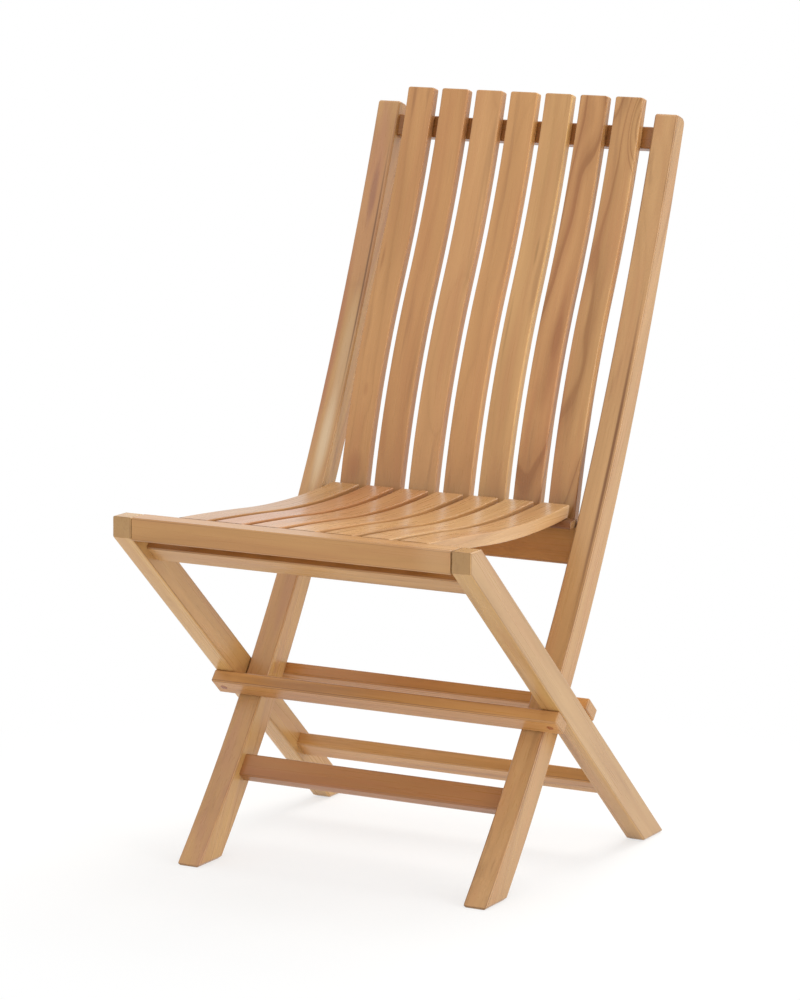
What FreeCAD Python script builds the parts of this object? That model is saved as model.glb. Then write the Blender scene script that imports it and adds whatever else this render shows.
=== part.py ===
import FreeCAD, Part
import math
import os

os.makedirs("parts", exist_ok=True)
V = FreeCAD.Vector

# Millimetres and degrees. X runs to the right as seen from the front, Y to
# the rear, Z up. Sizes are taken from the floor straight below the two
# crossing bolts; the finished pieces are then moved so that the origin is
# on the floor in the middle of the chair's outline. A lean is counted from
# upright and is positive to the rear.

# The chair as a whole
half_width = 240.0        # centre to the outer face of a leg
crossing_height = 203.0   # crossing bolts above the floor
seat_height = 451.0       # front edge of the seat
stile_top = 913.0         # front corner of a stile's top end
side_gap = 1.0            # between a leg and the stile beside it
ease = 1.6                # eased long edges
foot_ease = 3.5           # chamfer around every foot

# Tenons of all the rails
tenon_long = 16.0
tenon_shoulder = 4.0      # a tenon is this much smaller on every side
tenon_fit = 0.1           # play of a tenon in its mortise
mortise_spare = 1.0       # glue room beyond a tenon's end

# Legs of the outer frame: straight, leaning forward
leg_thick = 26.0
leg_deep = 38.0
leg_lean = -50.0

# Stiles of the back frame: sabre-curved and tapering to the top. Their
# middle line is two arcs that run into each other.
stile_thick = 31.5
stile_deep_foot = 43.2
stile_deep_top = 25.6
stile_foot_lean = 42.5
stile_head_lean = 18.3
stile_slant = 29.0        # lean of the straight line from foot to top
stile_low_share = 0.62    # how much of the bending the lower arc takes
stile_front_round = 4.0
stile_back_round = 9.0

# Stretchers and stop bars
rail_wide = 30.0
rail_thick = 18.0
stop_thick = 17.0
stop_gap = 0.3            # between a stop bar and the stile it meets
foot_stretcher_height = 104.4
leg_stretcher_below = 177.0    # along the leg, below the crossing bolt
leg_rail_below = 48.0          # along the leg, below the seat's hinge

# Back slats: straight over the seat's rail, then two arcs to the head
slats = 7
back_slat_wide = 38.0
back_slat_thick = 14.0
slat_side_space = 14.6    # from a stile to the slat beside it
slat_foot_lean = 12.3
slat_head_lean = 15.3
slat_straight = 72.0
slat_hang = 34.8          # below the top of the seat's rail
slat_proud = 19.5         # above the stile's top
slat_head_ahead = 17.2    # in front of the end of the stile's middle line
slat_corner = 4.0

# Rails that carry the back slats
seat_rail_wide = 50.0
seat_rail_thick = 21.5
seat_rail_drop = 38.2     # its top below the front edge of the seat
seat_rail_set = 3.6       # behind the stile's middle line
top_rail_wide = 28.5
top_rail_drop = 26.7     # its middle on the slats, below the stile's top
slat_rest_gap = 0.1       # from the bent slats to the flat top rail

# Seat
front_rail_deep = 32.0
front_rail_high = 28.0
front_rail_gap = 0.6      # each end to the leg's inner face
seat_slat_wide = 39.0
seat_slat_thick = 16.0
seat_fall = 3.1           # slope at the front, down to the rear
seat_rise = 5.1           # slope at the rear, upward
seat_low_share = 0.4      # how much of the bending the front arc takes
seat_back_gap = 18.2      # from the seat's rear end to the back slats
seat_back_above = 27.1    # seat's rear end above the rail it rests on
seat_end_slant = 8.0      # its lower edge is ahead of the upper one
seat_tenon = 18.0
seat_tenon_side = 5.0     # shoulder on each side of a seat slat's tenon
seat_tenon_thick = 9.0
batten_deep = 18.0
batten_back_gap = 17.2    # to the back slats, room for the seat to fold
batten_ease = 3.0         # lower rear edge, clears the slats as it folds
batten_side_gap = 2.0     # each end to the stile
batten_play = 0.2         # seat's rest on its rail

# Metalwork and plugs
bolt_size = 8.0
bolt_play = 0.05          # radial, in the stile and in the insert
bolt_head = 16.0
bolt_head_thick = 4.0
bolt_head_sunk = 1.0      # below the stile's inner face
bolt_head_room = 1.0      # around the head
insert_size = 11.0
insert_long = 16.0
insert_room = 2.0         # of the leg's hole beyond the insert
washer_size = 22.0
pin_size = 8.0
pin_play = 0.05           # radial, pin in the leg
pin_in_leg = 14.0
pin_in_rail = 34.0
pin_room = 1.0
screw_size = 4.0
stop_screw_long = 26.5
batten_screw_long = 22.5
slat_screw_bite = 12.0    # into the seat's rail
head_screw_bite = 8.0     # into the head of a slat
plug_size = 9.0
plug_thick = 4.0

leg_inner = half_width - leg_thick
stile_outer = leg_inner - side_gap
stile_inner = stile_outer - stile_thick
crossing = V(0, 0, crossing_height)
beyond = 2 * (stile_top + half_width)     # longer than anything here
hair = 1e-3                               # for telling edges apart
cut_over = 1.0                            # a cut starts this far outside


def upward(lean):
    """Unit step along a lean."""
    return V(0, math.sin(math.radians(lean)), math.cos(math.radians(lean)))


def behind(way):
    """Unit step square to a way: to the rear of an upright, under a seat."""
    return V(0, way.z, -way.y)


def lean_of(way):
    return math.degrees(math.atan2(way.y, way.z))


def at_x(x, p):
    return V(x, p.y, p.z)


# Lines in the side view

def arc(start, corner, end):
    """Arc that leaves start towards the corner and reaches end from it."""
    half = (end - start).Length / 2
    middle = (start + end) * 0.5
    depth = half / (half + (corner - start).Length)
    return Part.Arc(start, middle + (corner - middle) * depth, end).toShape()


def bend(start, lean, end, end_lean, share):
    """Two arcs that run smoothly into each other, from start to end."""
    go = upward(lean)
    arrive = upward(end_lean)
    chord = end - start
    mix = go * share + arrive * (1 - share)
    along = mix.dot(chord)
    square = chord.dot(chord)
    reach = square / (along + math.sqrt(along ** 2 + (1 - mix.dot(mix)) * square))
    first = start + go * (share * reach)
    last = end - arrive * ((1 - share) * reach)
    join = first * (1 - share) + last * share
    return [arc(start, first, join), arc(join, last, end)]


def set_back(edges, depth):
    """The same chain of lines and arcs, moved back by a depth."""
    moved = []
    for edge in edges:
        a, b = edge.ParameterRange
        pts = []
        for t in (a, (a + b) / 2, b):
            pts.append(edge.valueAt(t) + behind(edge.tangentAt(t)) * depth)
        if edge.Curve.TypeId == "Part::GeomLine":
            moved.append(Part.makeLine(pts[0], pts[2]))
        else:
            moved.append(Part.Arc(*pts).toShape())
    return moved


def at_height(chain, z):
    """Where a chain of edges passes a height, and the way it runs there."""
    level = Part.makeLine(V(0, -beyond, z), V(0, beyond, z))
    edge = min(chain, key=lambda e: e.distToShape(level)[0])
    p = edge.distToShape(level)[1][0][0]
    return p, edge.tangentAt(edge.Curve.parameter(p))


def first_point(chain):
    return chain[0].valueAt(chain[0].FirstParameter)


def last_point(chain):
    return chain[-1].valueAt(chain[-1].LastParameter)


def prism(edges, x0, x1):
    """Side outline in the YZ plane, drawn out from x0 to x1."""
    wire = Part.Wire(Part.__sortEdges__(edges))
    wire.translate(V(x0, 0, 0))
    return Part.Face(wire).extrude(V(x1 - x0, 0, 0))


def between(front, rear, x0, x1):
    """Board between two chains of edges, with straight ends."""
    ends = [Part.makeLine(first_point(front), first_point(rear)),
            Part.makeLine(last_point(front), last_point(rear))]
    return prism(front + rear + ends, x0, x1)


# Straight stock

def bar(x0, x1, centre, lean, wide, thick, eased=ease):
    """A straight bar along X, its wide face at the given lean."""
    b = Part.makeBox(x1 - x0, thick, wide, V(x0, -thick / 2, -wide / 2))
    if eased:
        b = b.makeChamfer(eased, [e for e in b.Edges if e.BoundBox.XLength > hair])
    b.rotate(V(0, 0, 0), V(1, 0, 0), -lean)
    b.translate(V(0, centre.y, centre.z))
    return b


def rail(half, centre, lean, wide, thick):
    """A bar between two side faces with a tenon at each end."""
    body = bar(-half, half, centre, lean, wide, thick)
    reach = half + tenon_long
    tenons = bar(-reach, reach, centre, lean, wide - 2 * tenon_shoulder,
                 thick - 2 * tenon_shoulder, 0)
    return body.fuse(tenons).removeSplitter()


def mortise(half, side, centre, lean, wide, thick):
    reach = half + tenon_long + mortise_spare
    x0, x1 = sorted((side * (half - cut_over), side * reach))
    less = 2 * (tenon_shoulder - tenon_fit)
    return bar(x0, x1, centre, lean, wide - less, thick - less, 0)


def rod(x0, x1, size, p):
    x0, x1 = sorted((x0, x1))
    return Part.makeCylinder(size / 2, x1 - x0, V(x0, p.y, p.z), V(1, 0, 0))


def screw(start, into, long):
    """Its thread is hidden in the wood, so six flat sides do."""
    rim = Part.Circle(start, into, screw_size / 2)
    corners = [rim.value(math.radians(60 * i)) for i in range(7)]
    return Part.Face(Part.makePolygon(corners)).extrude(into * long)


# Eased edges

def side_edges(shape, x0, x1):
    """Edges of either side face, without those on the floor."""
    found = []
    for e in shape.Edges:
        box = e.BoundBox
        on_side = abs(box.XMin - x0) < hair or abs(box.XMin - x1) < hair
        on_floor = box.ZMax < foot_ease + hair
        if box.XLength < hair and on_side and not on_floor:
            found.append(e)
    return found


def floor_edges(shape):
    return [e for e in shape.Edges if e.BoundBox.ZMax < hair]


def cross_edges(shape):
    return [e for e in shape.Edges if e.BoundBox.XLength > hair]


# The stile's middle line, shifted so that it runs through the crossing

def stile_middle():
    foot = V(0, 0, -stile_deep_foot / 2)
    top_z = stile_top - stile_deep_top / 2 * math.sin(math.radians(stile_head_lean))
    sweep = (top_z - foot.z) * math.tan(math.radians(stile_slant))
    line = bend(foot, stile_foot_lean, V(0, sweep, top_z), stile_head_lean,
                stile_low_share)
    shift = at_height(line, crossing_height)[0].y
    for edge in line:
        edge.translate(V(0, -shift, 0))
    return line


def stile_face(way):
    """Front (way -1) or rear (way 1) face, tapering to the middle line."""
    start, end = first_point(stile_line), last_point(stile_line)
    taper = math.atan((stile_deep_foot - stile_deep_top) / (end - start).Length)
    turn = -way * math.degrees(taper) / 2
    start = start + behind(upward(stile_foot_lean)) * (way * stile_deep_foot / 2)
    end = end + behind(upward(stile_head_lean)) * (way * stile_deep_top / 2)
    return bend(start, stile_foot_lean + turn, end, stile_head_lean + turn,
                stile_low_share)


stile_line = stile_middle()
stile_front = stile_face(-1)
stile_rear = stile_face(1)


# Places along the leg

def on_leg(along, back=0.0):
    """Up the leg from the crossing bolt, and back from its middle."""
    way = upward(leg_lean)
    return crossing + way * along + behind(way) * back


hinge_along = ((seat_height - front_rail_high / 2 - crossing_height)
               / math.cos(math.radians(leg_lean)))
hinge = on_leg(hinge_along)
seat_front = hinge.y - front_rail_deep / 2
leg_rail = (on_leg(hinge_along - leg_rail_below), leg_lean)
leg_stretcher = (on_leg(-leg_stretcher_below), leg_lean)


# The rail under the seat's rear, and the slats on it

def seat_rail_middle():
    """Its upper rear corner is level with the rail's top."""
    way = upward(slat_foot_lean)
    to_corner = way * (seat_rail_wide / 2) + behind(way) * (seat_rail_thick / 2)
    z = seat_rail_top - to_corner.z
    return at_height(stile_line, z)[0] + V(0, seat_rail_set, 0)


def slat_front():
    way = upward(slat_foot_lean)
    on_rail = seat_rail[0] + behind(way) * (seat_rail_thick / 2)
    foot = on_rail + way * ((slat_foot_height - on_rail.z) / way.z)
    knee = foot + way * slat_straight
    end = last_point(stile_line)
    head = V(0, end.y - slat_head_ahead, stile_top + slat_proud)
    return [Part.makeLine(foot, knee)] + bend(
        knee, slat_foot_lean, head, slat_head_lean, 0.5)


def top_rail_place():
    on_slat, way = at_height(slat_line, stile_top - top_rail_drop)
    back = back_slat_thick + slat_rest_gap + rail_thick / 2
    return on_slat + behind(way) * back, lean_of(way)


def slat_xs():
    pitch = (2 * (stile_inner - slat_side_space) - back_slat_wide) / (slats - 1)
    return [(i - (slats - 1) / 2) * pitch for i in range(slats)]


seat_rail_top = seat_height - seat_rail_drop
slat_foot_height = seat_rail_top - slat_hang
seat_rail = (seat_rail_middle(), slat_foot_lean)
slat_line = slat_front()
top_rail = top_rail_place()
foot_stretcher_at, foot_stretcher_way = at_height(stile_line, foot_stretcher_height)
foot_stretcher = (foot_stretcher_at, lean_of(foot_stretcher_way))


def back_slat(x):
    half = back_slat_wide / 2
    s = between(slat_line, set_back(slat_line, back_slat_thick), x - half, x + half)
    corners = [e for e in s.Edges if e.BoundBox.ZMin > stile_top
               and abs(e.Length - back_slat_thick) < hair]
    s = s.makeFillet(slat_corner, corners)
    long_edges = [e for e in s.Edges if e.BoundBox.XLength < hair
                  and e.Length > slat_straight - hair]
    s = s.makeChamfer(ease, long_edges)
    return s.cut(head_screw(x)).cut(foot_screw(x))


def foot_screw(x):
    """Through a slat's lower end into the seat's rail, from behind."""
    into = behind(upward(slat_foot_lean)) * -1
    start = at_x(x, seat_rail[0]) - into * (seat_rail_thick / 2 + back_slat_thick)
    return screw(start, into, back_slat_thick + slat_screw_bite)


def head_screw(x):
    """Through the top rail into a slat's head, from behind."""
    into = behind(upward(top_rail[1])) * -1
    start = at_x(x, top_rail[0]) - into * (rail_thick / 2)
    return screw(start, into, rail_thick + head_screw_bite)


def drilled_top_rail():
    r = rail(stile_inner, *top_rail, top_rail_wide, rail_thick)
    for x in slat_xs():
        r = r.cut(head_screw(x))
    return r


def seat_support_rail():
    """Its upper edge is planed level, where the seat comes to rest."""
    r = rail(stile_inner, *seat_rail, seat_rail_wide, seat_rail_thick)
    lid = Part.makeBox(2 * half_width, 2 * seat_rail_wide, seat_rail_wide,
                       V(-half_width, seat_rail[0].y - seat_rail_wide, seat_rail_top))
    r = r.cut(lid)
    for x in slat_xs():
        r = r.cut(foot_screw(x))
    return r


def stile(side):
    x0, x1 = sorted((side * stile_inner, side * stile_outer))
    s = between(stile_front, stile_rear, x0, x1)
    s = s.common(Part.makeBox(beyond, 2 * beyond, beyond, V(-beyond / 2, -beyond, 0)))
    upper = sorted(cross_edges(s), key=lambda e: e.BoundBox.ZMin)[-2:]
    upper.sort(key=lambda e: e.BoundBox.YMin)
    rear = upper[1].CenterOfMass
    s = s.makeFillet(stile_front_round, [upper[0]])
    same = min(cross_edges(s), key=lambda e: (e.CenterOfMass - rear).Length)
    s = s.makeFillet(stile_back_round, [same])
    s = s.makeChamfer(foot_ease, floor_edges(s))
    s = s.makeChamfer(ease, side_edges(s, x0, x1))
    for place, wide, thick in ((foot_stretcher, rail_wide, rail_thick),
                               (top_rail, top_rail_wide, rail_thick),
                               (seat_rail, seat_rail_wide, seat_rail_thick)):
        s = s.cut(mortise(stile_inner, side, *place, wide, thick))
    s = s.cut(rod(side * (stile_inner - cut_over), side * (stile_outer + cut_over),
                  bolt_size + 2 * bolt_play, crossing))
    return s.cut(rod(side * (stile_inner - cut_over), side * bolt_seat,
                     bolt_head + 2 * bolt_head_room, crossing))


# Outer frame

def leg(side):
    """Cut level at the floor and at the seat, and upright at the front."""
    x0, x1 = sorted((side * leg_inner, side * half_width))
    s = bar(x0, x1, crossing, leg_lean, beyond, leg_deep, 0)
    room = Part.makeBox(leg_thick, beyond, seat_height, V(x0, seat_front, 0))
    s = s.common(room)
    s = s.makeChamfer(foot_ease, floor_edges(s))
    s = s.makeChamfer(ease, side_edges(s, x0, x1))
    for place in (leg_rail, leg_stretcher):
        s = s.cut(mortise(leg_inner, side, *place, rail_wide, rail_thick))
    inside = side * (leg_inner - cut_over)
    s = s.cut(rod(inside, side * (leg_inner + insert_long + insert_room),
                  insert_size, crossing))
    s = s.cut(rod(inside, side * (leg_inner + pin_in_leg + pin_room),
                  pin_size + 2 * pin_play, hinge))
    for way in (1, -1):
        s = s.cut(stop_screw(side, way))
    return s


def stop_middle(way):
    """Bar over the legs (way 1) or under them (way -1).

    It stands where a face of the stile would meet a face of the leg.
    """
    face = stile_rear if way > 0 else stile_front
    near = Part.Vertex(crossing).distToShape(Part.Wire(face))[0]
    stile_lean = lean_of(at_height(stile_line, crossing_height)[1])
    turn = math.radians(90 + leg_lean - stile_lean)
    meet = (near - leg_deep / 2 * abs(math.sin(turn))) / math.cos(turn)
    along = meet + stop_gap + rail_wide / 2
    return on_leg(-way * along, way * (leg_deep + stop_thick) / 2)


def stop_bar(way):
    b = Part.makeBox(2 * half_width, stop_thick, rail_wide,
                     V(-half_width, -stop_thick / 2, -rail_wide / 2))
    b = b.makeChamfer(ease, b.Edges)
    b.rotate(V(0, 0, 0), V(1, 0, 0), -leg_lean)
    b.translate(stop_middle(way))
    for side in (1, -1):
        b = b.cut(stop_screw(side, way)).cut(stop_plug(side, way))
    return b


def stop_face(side, way):
    """Middle of a screw on the bar's outer face, and the way out."""
    out = behind(upward(leg_lean)) * way
    x = side * (half_width - leg_thick / 2)
    return at_x(x, stop_middle(way)) + out * (stop_thick / 2), out


def stop_screw(side, way):
    face, out = stop_face(side, way)
    return screw(face - out * plug_thick, out * -1, stop_screw_long)


def stop_plug(side, way):
    face, out = stop_face(side, way)
    return Part.makeCylinder(plug_size / 2, plug_thick, face - out * plug_thick, out)


# Seat

def seat_line():
    """Upper face of the seat slats."""
    start = V(0, seat_front + front_rail_deep, seat_height)
    z = seat_rail_top + seat_back_above
    end = at_height(slat_line, z)[0] - V(0, seat_back_gap, 0)
    return bend(start, 90 + seat_fall, end, 90 - seat_rise, seat_low_share)


seat_upper = seat_line()
seat_under = set_back(seat_upper, seat_slat_thick)


def seat_slat(x):
    half = seat_slat_wide / 2
    front = V(0, seat_front + front_rail_deep, 0)
    rear = last_point(seat_upper)
    s = between(seat_upper, seat_under, x - half, x + half)
    way = last_point(seat_under) - rear
    edge = rear + way - V(0, seat_end_slant, 0)
    wedge = [rear, edge, edge + way, rear + way + way]
    s = s.cut(prism(Part.makePolygon(wedge + [rear]).Edges, x - half, x + half))
    s = s.common(Part.makeBox(beyond, beyond, beyond,
                              V(-half_width * 2, front.y, 0)))
    long_edges = [e for e in s.Edges if e.BoundBox.XLength < hair
                  and e.Length > seat_slat_thick + seat_end_slant]
    s = s.makeChamfer(ease, long_edges)
    s = s.fuse(seat_slat_tenon(x, 0)).removeSplitter()
    return s.cut(batten_screw(x))


def seat_slat_tenon(x, play):
    wide = seat_slat_wide - 2 * seat_tenon_side + 2 * play
    thick = seat_tenon_thick + 2 * play
    long = seat_tenon + (mortise_spare if play else 0)
    y = seat_front + front_rail_deep
    z = seat_height - seat_slat_thick / 2 - thick / 2
    return Part.makeBox(wide, long + cut_over, thick, V(x - wide / 2, y - long, z))


def seat_front_rail():
    half = leg_inner - front_rail_gap
    centre = V(0, hinge.y, seat_height - front_rail_high / 2)
    b = bar(-half, half, centre, 0, front_rail_high, front_rail_deep)
    for x in slat_xs():
        b = b.cut(seat_slat_tenon(x, tenon_fit))
    for side in (1, -1):
        b = b.cut(rod(side * (half + cut_over), side * (half - pin_in_rail),
                      pin_size, hinge))
    return b


def hinge_pin(side):
    return rod(side * (leg_inner - front_rail_gap - pin_in_rail),
               side * (leg_inner + pin_in_leg), pin_size, hinge)


batten_foot = seat_rail_top + batten_play
batten_back = at_height(slat_line, seat_rail_top)[0].y - batten_back_gap
batten_front = batten_back - batten_deep


def batten():
    """Under the rear of the seat slats; its flat foot rests on the rail."""
    half = stile_inner - batten_side_gap
    top = seat_rail_top + seat_back_above
    pts = [V(0, batten_front, batten_foot),
           V(0, batten_back - batten_ease, batten_foot),
           V(0, batten_back, batten_foot + batten_ease),
           V(0, batten_back, top),
           V(0, batten_front, top)]
    s = prism(Part.makePolygon(pts + [pts[0]]).Edges, -half, half)
    s = s.cut(between(set_back(seat_upper, -seat_slat_thick), seat_under,
                      -half - cut_over, half + cut_over))
    for x in slat_xs():
        s = s.cut(batten_screw(x))
    return s


def batten_screw(x):
    """From below, in the middle of what the slats bear on."""
    edge = last_point(seat_under).y - seat_end_slant
    y = (batten_front + min(edge, batten_back)) / 2
    return screw(V(x, y, batten_foot), V(0, 0, 1), batten_screw_long)


# Crossing bolts, each in a brass insert in the leg

bolt_seat = stile_inner + bolt_head_sunk + bolt_head_thick


def pivot_bolt(side):
    head = rod(side * (bolt_seat - bolt_head_thick), side * bolt_seat,
               bolt_head, crossing)
    shank = rod(side * bolt_seat, side * (leg_inner + insert_long - cut_over),
                bolt_size, crossing)
    return head.fuse(shank).removeSplitter()


def ring(x0, x1, size):
    hole = bolt_size + 2 * bolt_play
    return rod(x0, x1, size, crossing).cut(rod(x0, x1, hole, crossing))


def pivot_insert(side):
    return ring(side * leg_inner, side * (leg_inner + insert_long), insert_size)


def pivot_washer(side):
    return ring(side * stile_outer, side * leg_inner, washer_size)


# From the crossing bolts' frame to the middle of the outline
rear_most = stile(1).optimalBoundingBox(False).YMax
to_middle = V(0, -(seat_front + rear_most) / 2, 0)
print("crossing bolts", at_x(half_width, crossing + to_middle))
print("seat hinge", hinge + to_middle)


def save(name, shapes):
    shape = Part.makeCompound(shapes) if isinstance(shapes, list) else shapes
    shape.translate(to_middle)
    shape.exportStep("parts/" + name + ".step")
    print(name, round(shape.Volume / 1000, 1), "cm3")


# Back frame
save("right_stile", stile(1))
save("left_stile", stile(-1))
save("top_rail", drilled_top_rail())
save("seat_support_rail", seat_support_rail())
save("front_stretcher", rail(stile_inner, *foot_stretcher, rail_wide, rail_thick))
for number, x in enumerate(slat_xs(), 1):
    save("back_slat_%d" % number, back_slat(x))
save("back_slat_screws", [s(x) for s in (head_screw, foot_screw) for x in slat_xs()])

# Leg frame
save("right_leg", leg(1))
save("left_leg", leg(-1))
save("leg_top_rail", rail(leg_inner, *leg_rail, rail_wide, rail_thick))
save("rear_stretcher", rail(leg_inner, *leg_stretcher, rail_wide, rail_thick))
save("front_stop_bar", stop_bar(-1))
save("rear_stop_bar", stop_bar(1))
save("stop_bar_screws", [stop_screw(s, w) for w in (1, -1) for s in (1, -1)])
save("stop_bar_plugs", [stop_plug(s, w) for w in (1, -1) for s in (1, -1)])
save("pivot_bolts", [pivot_bolt(1), pivot_bolt(-1)])
save("pivot_inserts", [pivot_insert(1), pivot_insert(-1)])
save("pivot_washers", [pivot_washer(1), pivot_washer(-1)])

# Seat
save("seat_front_rail", seat_front_rail())
for number, x in enumerate(slat_xs(), 1):
    save("seat_slat_%d" % number, seat_slat(x))
save("seat_batten", batten())
save("batten_screws", [batten_screw(x) for x in slat_xs()])
save("hinge_pins", [hinge_pin(1), hinge_pin(-1)])
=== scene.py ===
import math
import bmesh
import bpy
from mathutils import Matrix, Vector
from mathutils.bvhtree import BVHTree


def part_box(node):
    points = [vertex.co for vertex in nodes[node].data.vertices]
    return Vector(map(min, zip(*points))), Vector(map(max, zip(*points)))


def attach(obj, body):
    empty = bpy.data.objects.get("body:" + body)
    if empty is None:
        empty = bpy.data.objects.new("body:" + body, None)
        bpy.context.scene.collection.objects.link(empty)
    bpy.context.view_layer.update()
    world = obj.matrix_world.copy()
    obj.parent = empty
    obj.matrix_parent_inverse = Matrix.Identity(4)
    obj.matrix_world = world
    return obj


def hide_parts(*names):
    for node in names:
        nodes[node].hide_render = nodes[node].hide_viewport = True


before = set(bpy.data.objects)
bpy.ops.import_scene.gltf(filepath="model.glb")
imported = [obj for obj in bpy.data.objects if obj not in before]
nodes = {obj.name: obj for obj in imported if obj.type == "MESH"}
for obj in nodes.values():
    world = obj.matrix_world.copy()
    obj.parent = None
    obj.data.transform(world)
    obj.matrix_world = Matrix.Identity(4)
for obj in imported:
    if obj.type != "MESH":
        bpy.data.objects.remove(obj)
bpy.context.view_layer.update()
print("frame loaded:", len(nodes), "nodes")

mm = 0.001


def hexColour(text, times=(1, 1, 1)):
    values = [int(text[i:i + 2], 16) / 255 for i in (1, 3, 5)]
    linear = [v / 12.92 if v <= 0.04045 else ((v + 0.055) / 1.055) ** 2.4 for v in values]
    return (*(v * t for v, t in zip(linear, times)), 1.0)


def addNode(tree, kind, settings=None, values=None, links=None):
    node = tree.nodes.new(kind)
    for name, value in (settings or {}).items():
        setattr(node, name, value)
    for socket, value in (values or {}).items():
        node.inputs[socket].default_value = value
    for socket, source in (links or {}).items():
        tree.links.new(source, node.inputs[socket])
    return node


def middle(node):
    low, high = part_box(node)
    return (low + high) / 2


# Camera: the photograph's own view, fitted to the chair's straight members

cameraView = {
    "azimuth": 27.492, "elevation": 9.660, "roll": 0.679,
    "distance": 5.1032, "target": (-0.01728, -0.00394, 0.44394),
    "sensor": 36.0, "lens": 148.32,
}


def placeCamera(view):
    az, el, roll = (math.radians(view[k]) for k in ("azimuth", "elevation", "roll"))
    back = Vector((math.cos(el) * math.sin(az), -math.cos(el) * math.cos(az), math.sin(el)))
    level = Vector((math.cos(az), math.sin(az), 0))
    upright = back.cross(level)
    right = level * math.cos(roll) + upright * math.sin(roll)
    up = upright * math.cos(roll) - level * math.sin(roll)
    data = bpy.data.cameras.new("camera")
    data.sensor_fit = "VERTICAL"
    data.sensor_height = view["sensor"]
    data.lens = view["lens"]
    data.clip_end = 50
    camera = bpy.data.objects.new("camera", data)
    place = Vector(view["target"]) + back * view["distance"]
    camera.matrix_world = Matrix.Translation(place) @ Matrix((right, up, back)).transposed().to_4x4()
    bpy.context.scene.collection.objects.link(camera)
    bpy.context.scene.camera = camera


placeCamera(cameraView)
bpy.context.scene.view_settings.view_transform = "Standard"
print("camera placed")


# Light: a white room and floor, a low soft lamp from the right, weaker ones above and behind

lamps = {
    "top": {"place": (0.3, -0.7, 3.3), "size": 3.0, "power": 18},
    "side": {"place": (3.3, -0.4, 0.9), "size": 2.2, "power": 46},
    "back": {"place": (0.3, 2.2, 3.0), "size": 2.4, "power": 64},
}
room = {"strength": 0.82, "aim": (0, 0, 0.45)}


def addLamps():
    for name, lamp in lamps.items():
        data = bpy.data.lights.new(name, "AREA")
        data.shape = "DISK"
        data.size = lamp["size"]
        data.energy = lamp["power"]
        light = bpy.data.objects.new(name, data)
        light.location = lamp["place"]
        aim = Vector(room["aim"]) - light.location
        light.rotation_euler = aim.to_track_quat("-Z", "Y").to_euler()
        bpy.context.scene.collection.objects.link(light)


# 1 for what the camera, a reflection or a clear material looks at
def seenDirectly(tree):
    path = addNode(tree, "ShaderNodeLightPath")
    seen = addNode(tree, "ShaderNodeMath", {"operation": "MAXIMUM"},
                   links={0: path.outputs["Is Camera Ray"], 1: path.outputs["Is Glossy Ray"]})
    return addNode(tree, "ShaderNodeMath", {"operation": "MAXIMUM"},
                   links={0: seen.outputs[0], 1: path.outputs["Is Transmission Ray"]}).outputs[0]


def whiteRoom():
    world = bpy.data.worlds.new("white room")
    bpy.context.scene.world = world
    world.use_nodes = True
    tree = world.node_tree
    tree.nodes.clear()
    lit = addNode(tree, "ShaderNodeBackground", values={"Strength": room["strength"]})
    shown = addNode(tree, "ShaderNodeBackground", values={"Strength": 1.0})
    for node in (lit, shown):
        node.inputs["Color"].default_value = (1, 1, 1, 1)
    mix = addNode(tree, "ShaderNodeMixShader",
                  links={0: seenDirectly(tree), 1: lit.outputs[0], 2: shown.outputs[0]})
    addNode(tree, "ShaderNodeOutputWorld", links={"Surface": mix.outputs[0]})


# The floor is matte near the chair, so that it keeps the shadow, and plain white further out
floorLook = {"reach": 14.0, "colour": "#F3F2EF", "whiteNear": 0.66, "near": 0.25, "far": 0.85}


def addFloor():
    mesh = bpy.data.meshes.new("floor")
    r = floorLook["reach"]
    mesh.from_pydata([(-r, -r, 0), (r, -r, 0), (r, r, 0), (-r, r, 0)], [], [(0, 1, 2, 3)])
    floor = bpy.data.objects.new("floor", mesh)
    bpy.context.scene.collection.objects.link(floor)
    material = bpy.data.materials.new("pale floor")
    material.use_nodes = True
    tree = material.node_tree
    tree.nodes.clear()
    place = addNode(tree, "ShaderNodeTexCoord")
    away = addNode(tree, "ShaderNodeVectorMath", {"operation": "LENGTH"},
                   links={0: place.outputs["Object"]})
    white = addNode(tree, "ShaderNodeMapRange", {"interpolation_type": "SMOOTHSTEP"},
                    values={1: floorLook["near"], 2: floorLook["far"], 3: floorLook["whiteNear"], 4: 1.0},
                    links={0: away.outputs["Value"]})
    share = addNode(tree, "ShaderNodeMath", {"operation": "MULTIPLY"},
                    links={0: white.outputs[0], 1: seenDirectly(tree)})
    matte = addNode(tree, "ShaderNodeBsdfDiffuse", values={"Color": hexColour(floorLook["colour"])})
    shown = addNode(tree, "ShaderNodeEmission", values={"Color": (1, 1, 1, 1), "Strength": 1.0})
    mix = addNode(tree, "ShaderNodeMixShader",
                  links={0: share.outputs[0], 1: matte.outputs[0], 2: shown.outputs[0]})
    addNode(tree, "ShaderNodeOutputMaterial", links={"Surface": mix.outputs[0]})
    mesh.materials.append(material)


addLamps()
whiteRoom()
addFloor()
print("lamps, room and floor placed")


# Solid teak, planed, sanded and oiled: soft broad bands along the grain, a satin surface,
# darker ends. One group holds the grain; every board has its own place in the log and tone.

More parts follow.
